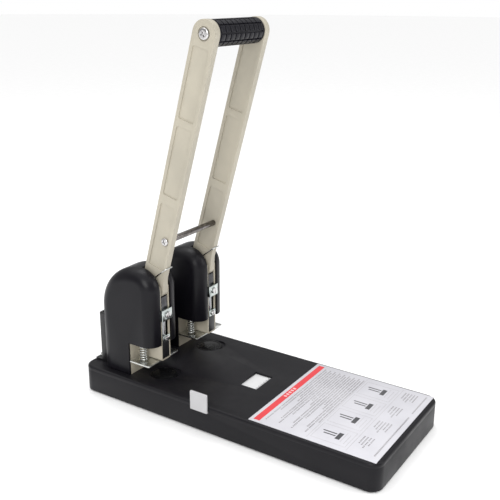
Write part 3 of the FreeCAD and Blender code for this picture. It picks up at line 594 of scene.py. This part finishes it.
# %% [markdown]
# Below the lines stand four outlined boxes with small drawings. They could be drawn with curves, but
# at this size a few strokes are enough: an arm, a post, a foot and some thin lines in each box.

# %% Small line drawings on the card
BOX_TOP, BOX_DEPTH = 62 * MM, 34 * MM
BOX_WIDE = 0.21
outlines = [across_card(-0.01, 1.01, depth, HAIRLINE) for depth in (59.5 * MM, 99 * MM)]
shapes = []
for column in range(COLUMNS):
    left = 0.02 + column * COLUMN_PITCH
    for depth in (BOX_TOP, BOX_TOP + BOX_DEPTH):
        outlines.append(across_card(left, left + BOX_WIDE, depth, HAIRLINE))
    for start in (left, left + BOX_WIDE):
        outlines.append(across_card(start, start + 0.003, BOX_TOP, BOX_DEPTH))
    arm_start = left + 0.07 + 0.01 * (column % 2)
    shapes.append(across_card(arm_start, arm_start + 0.012, BOX_TOP + 5 * MM, 14 * MM))
    shapes.append(across_card(arm_start + 0.03, arm_start + 0.042, BOX_TOP + 7 * MM, 12 * MM))
    shapes.append(across_card(arm_start - 0.02, arm_start + 0.07, BOX_TOP + 20 * MM, 4.5 * MM))
    outlines.append(across_card(arm_start - 0.045, arm_start + 0.09, BOX_TOP + 26.5 * MM, 0.4 * MM))
    outlines.append(across_card(arm_start - 0.03, arm_start + 0.10, BOX_TOP + 30.5 * MM, 0.4 * MM))
dress(printed("card_outlines", outlines, CARD_TOP), "base", "card", line_ink)
dress(printed("card_drawings", shapes, CARD_TOP), "base", "card", dark_ink)

# %% [markdown]
# The strip under the window carries a plain scale, a row of ticks with every third one longer. It
# rides on the side guide, so that the marks move with it.

# %% Marks on the scale strip
strip_top = low_and_high("guide_scale")[1].z - FILM * 0.4
window_front = low_and_high("guide_scale")[0].y
TICK_PITCH = 1.6 * MM
HALF_TICK = 0.3 * MM
tick_foot = window_front + 4 * MM
ticks = []
for step in range(-9, 10):
    x = step * TICK_PITCH
    tall = 2.4 * MM if step % 3 == 0 else 1.5 * MM
    ticks.append((x - HALF_TICK, x + HALF_TICK, tick_foot, tick_foot + tall))
dress(printed("scale_marks", ticks, strip_top), "guide", "card", dark_ink)
print("card marks", len(lines), "strip marks", len(ticks))

# %% [markdown]
# ## The towers
#
# Each tower has a black cover over a painted steel channel. In the channel's front stand a black
# guide block, a plated guide, the hollow punch with its holder, and a return spring on each side.

# %% Towers
for name in SIDES:
    refine(f"cover_{name}", "black_plastic", cover_plastic, 0.3)
    refine(f"frame_{name}", "cream_paint", frame_paint, 0.25)
    refine(f"stripper_plate_{name}", "zinc", zinc_plate, 0.25)
    refine(f"stripper_rivets_{name}", "zinc", zinc_plate, 0.2)
    refine(f"guide_block_{name}", "black_steel", black_coat, 0.25)
    refine(f"punch_guide_{name}", "zinc", guide_plate, 0.25)
    refine(f"guide_screw_{name}", "chrome_steel", chrome_plate, 0.2)
    refine(f"frame_screws_{name}", "zinc", zinc_plate, 0.2)
    refine(f"axle_{name}", "dark_steel", dark_steel, 0.2)
    refine(f"axle_rings_{name}", "spring_steel", spring_wire, 0.1)
    refine(f"torsion_coil_{name}", "spring_steel", spring_wire, 0)
    refine(f"punch_{name}", "chrome_steel", punch_steel, 0.1)
    refine(f"punch_holder_{name}", "zinc", guide_plate, 0.25)
    refine(f"clamp_screw_{name}", "chrome_steel", chrome_plate, 0.2)
    refine(f"spring_bar_{name}", "zinc", zinc_plate, 0.2)
    refine(f"push_stem_{name}", "dark_steel", dark_steel, 0.2)

# %% [markdown]
# In the channel in which the punch slides, a thin black sheet stands just inside each painted side wall.
# These sheets are painted shade: they put the dark of the channel's shadowed inside onto two thin boxes set
# just inside the painted walls, joined to one piece.

# %% Dark sheets of painted shade in the channels
SHADE_SHEET_THICKNESS = 0.22 * MM


def thin_box(name, low, high):
    """A box between two corners."""
    bpy.ops.mesh.primitive_cube_add(size=1, location=(Vector(low) + Vector(high)) / 2)
    piece = added(name)
    piece.scale = Vector(high) - Vector(low)
    settle(piece)
    return piece


for name in SIDES:
    block_low, block_high = low_and_high(f"guide_block_{name}")
    stem_high = low_and_high(f"push_stem_{name}")[1]
    inner = (block_high.x - block_low.x) / 2 - 0.02 * MM
    x = TOWER_X[name]
    front, back = block_low.y + 1.5 * MM, block_low.y + 29 * MM
    foot, head = block_high.z + 0.5 * MM, stem_high.z + 3 * MM
    walls = []
    for side in SIDES.values():
        outer = x + side * inner
        low = (min(outer, outer - side * SHADE_SHEET_THICKNESS), front, foot)
        high = (max(outer, outer - side * SHADE_SHEET_THICKNESS), back, head)
        walls.append(thin_box("shade_sheet_wall", low, high))
    # painted shade: dark sheets where the channel only lies in shadow
    shade_sheet = join(f"channel_shade_sheet_{name}", walls)
    dress(shade_sheet, "base", "black_plastic", disc_plastic)

# %% [markdown]
# The return springs shorten as the punches go down, resting on the stripper plate at their foot. Here each is
# a smooth copy with a mesh of its own; the height of its foot is read, and nothing presses it flat.

# %% Return springs
for name in SIDES:
    springs = refine(f"return_springs_{name}", "spring_steel", spring_wire, 0)
    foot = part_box(f"return_springs_{name}")[0][2]
    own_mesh(springs)

# %% [markdown]
# ## The lever
#
# Two painted arms carry the grip on a steel rod, tied by a thin crossbar lower down.

# %% Arms, rods and springs of the lever
for name in SIDES:
    refine(f"arm_{name}", "cream_paint", cream_paint, 0.45, 3)
    refine(f"torsion_leg_{name}", "spring_steel", spring_wire, 0)
refine("grip_rod", "dark_steel", dark_steel, 0.2)
refine("crossbar", "dark_steel", bar_steel, 0.2)

# %% [markdown]
# The grip is a rubber sleeve with rows of raised pads between two plain collars. One pad could be a
# box on the surface, but real pads follow the curve of the sleeve. So a pad starts as a slice of a
# cylinder wall: the faces that look the right way are kept, thickened outwards and rounded. The pad
# is then turned round the sleeve and the ring of pads is repeated along it.

# %% Grip sleeve with raised pads
GRIP_RADIUS = low_and_high("grip_sleeve")[1].z - GRIP_AXIS.z
GRIP_LENGTH = low_and_high("grip_sleeve")[1].x * 2
PAD_HEIGHT = 1.1 * MM
COLLAR = 2.6 * MM
PAD_RINGS = 9
PADS_AROUND = 10
RING_PITCH = (GRIP_LENGTH - 2 * COLLAR) / PAD_RINGS
PAD_SHARE = 0.86
LIE_ALONG_X = (0, math.pi / 2, 0)


def round_bar(name, radius, length, place, vertices=80):
    """A closed round bar along X."""
    size = dict(radius=radius, depth=length, vertices=vertices)
    bpy.ops.mesh.primitive_cylinder_add(location=place, rotation=LIE_ALONG_X, **size)
    bar = added(name)
    settle(bar)
    return bar


core = round_bar("grip_core", GRIP_RADIUS - PAD_HEIGHT, GRIP_LENGTH, GRIP_AXIS)
collars = []
for side in SIDES.values():
    place = GRIP_AXIS + Vector((side * (GRIP_LENGTH - COLLAR) / 2, 0, 0))
    collars.append(round_bar("grip_collar", GRIP_RADIUS - 0.2 * MM, COLLAR, place))

first_ring = GRIP_AXIS + Vector((-GRIP_LENGTH / 2 + COLLAR + RING_PITCH / 2, 0, 0))
pad = round_bar("grip_pad", GRIP_RADIUS - PAD_HEIGHT - 0.3 * MM, RING_PITCH * 0.84, first_ring, 100)
half_turn = math.radians(360 / PADS_AROUND * PAD_SHARE / 2)


def beside_the_pad(centre, normal):
    """True for the end caps and for wall faces outside the pad's share of the turn."""
    return abs(normal.x) > 0.5 or math.acos(max(-1, min(1, normal.z))) > half_turn


pick(pad)
bpy.ops.object.mode_set(mode="EDIT")
choose(pad, beside_the_pad)
bpy.ops.mesh.delete(type="FACE")
bpy.ops.object.mode_set(mode="OBJECT")
apply_modifier(pad, "SOLIDIFY", thickness=PAD_HEIGHT + 0.3 * MM, offset=1)
rim = dict(width=0.4 * MM, segments=2, limit_method="ANGLE")
apply_modifier(pad, "BEVEL", angle_limit=math.radians(40), **rim)

ring = [pad]
for step in range(1, PADS_AROUND):
    pick(pad)
    bpy.ops.object.duplicate()
    copy = bpy.context.object
    about = Matrix.Translation(first_ring)
    spun = about @ Matrix.Rotation(math.radians(360 / PADS_AROUND * step), 4, "X") @ about.inverted()
    copy.data.transform(spun)
    ring.append(copy)
pads = join("grip_pads", ring)
apply_modifier(
    pads, "ARRAY", count=PAD_RINGS, use_relative_offset=False,
    use_constant_offset=True, constant_offset_displace=(RING_PITCH, 0, 0),
)
for plain in [core, *collars]:
    apply_modifier(plain, "BEVEL", width=0.5 * MM, segments=3, limit_method="ANGLE")
grip = join("grip_with_pads", [core, *collars, pads])
smooth(grip, 40)
dress(grip, "lever", "rubber", grip_rubber, "grip_sleeve")
print("grip faces", len(grip.data.polygons))

# %% [markdown]
# Screws with domed heads and a cross recess hold the rods. The head starts as a short cylinder whose
# upper rim is rounded until it is a dome, and the recess is a tapered cross that is subtracted with
# a boolean. The head is modelled pointing up, and then laid on its side at its place on the arm.

# %% Domed screw heads


def cross_cutter(name, span, width, top, depth):
    """A cross that narrows downwards, to cut the recess."""
    bars = []
    for sizes in ((span, width), (width, span)):
        bpy.ops.mesh.primitive_cube_add(size=1, location=(0, 0, top - depth / 2))
        bar = added(name)
        bar.scale = (*sizes, depth)
        settle(bar)
        pick(bar)
        bpy.ops.object.mode_set(mode="EDIT")
        choose(bar, lambda centre, normal: normal.z < -0.5)
        bpy.ops.transform.resize(value=(0.55, 0.55, 1))
        bpy.ops.object.mode_set(mode="OBJECT")
        bars.append(bar)
    apply_modifier(bars[0], "BOOLEAN", operation="UNION", object=bars[1])
    bpy.data.objects.remove(bars[1])
    return bars[0]


def domed_head(name, radius, height, shank, shank_length):
    """A domed head that sits on the plane z = 0, with its cross recess and its shank below."""
    bpy.ops.mesh.primitive_cylinder_add(vertices=64, radius=radius, depth=height, location=(0, 0, height / 2))
    head = added(name)
    settle(head)
    pick(head)
    bpy.ops.object.mode_set(mode="EDIT")
    choose(head, lambda middle, along: middle.z > height * 0.99 and middle.xy.length > radius * 0.9, "EDGE")
    bpy.ops.mesh.bevel(offset=height * 0.8, segments=6, affect="EDGES", profile=0.5)
    bpy.ops.object.mode_set(mode="OBJECT")
    cutter = cross_cutter(f"{name}_cross", radius * 1.15, radius * 0.30, height * 1.05, height * 0.8)
    apply_modifier(head, "BOOLEAN", operation="DIFFERENCE", object=cutter)
    bpy.data.objects.remove(cutter)
    size = dict(radius=shank, depth=shank_length, vertices=32)
    bpy.ops.mesh.primitive_cylinder_add(location=(0, 0, -shank_length / 2), **size)
    stem = added(f"{name}_shank")
    settle(stem)
    head = join(name, [head, stem])
    smooth(head, 30)
    return head


def rod_screws(node, name, radius, height):
    """A domed screw on the outside of each arm, in place of the node."""
    low, high = low_and_high(node)
    middle = (low + high) / 2
    pair = []
    for side_name, side in SIDES.items():
        head = domed_head(f"{name}_{side_name}", radius, height, radius * 0.4, 4 * MM)
        lay = Matrix.Rotation(math.radians(90 * side), 4, "Y")
        roll = Matrix.Rotation(math.radians(20), 4, "Z")
        seat = Vector((side * (high.x - height), middle.y, middle.z))
        head.data.transform(Matrix.Translation(seat) @ lay @ roll)
        pair.append(head)
    return dress(join(name, pair), "lever", "chrome_steel", chrome_plate, node)


rod_screws("grip_screws", "grip_rod_screws", 5.4 * MM, 1.9 * MM)
rod_screws("crossbar_screws", "crossbar_end_screws", 4.1 * MM, 1.7 * MM)
print("screw heads reach x =", low_and_high("grip_screws")[1].x)
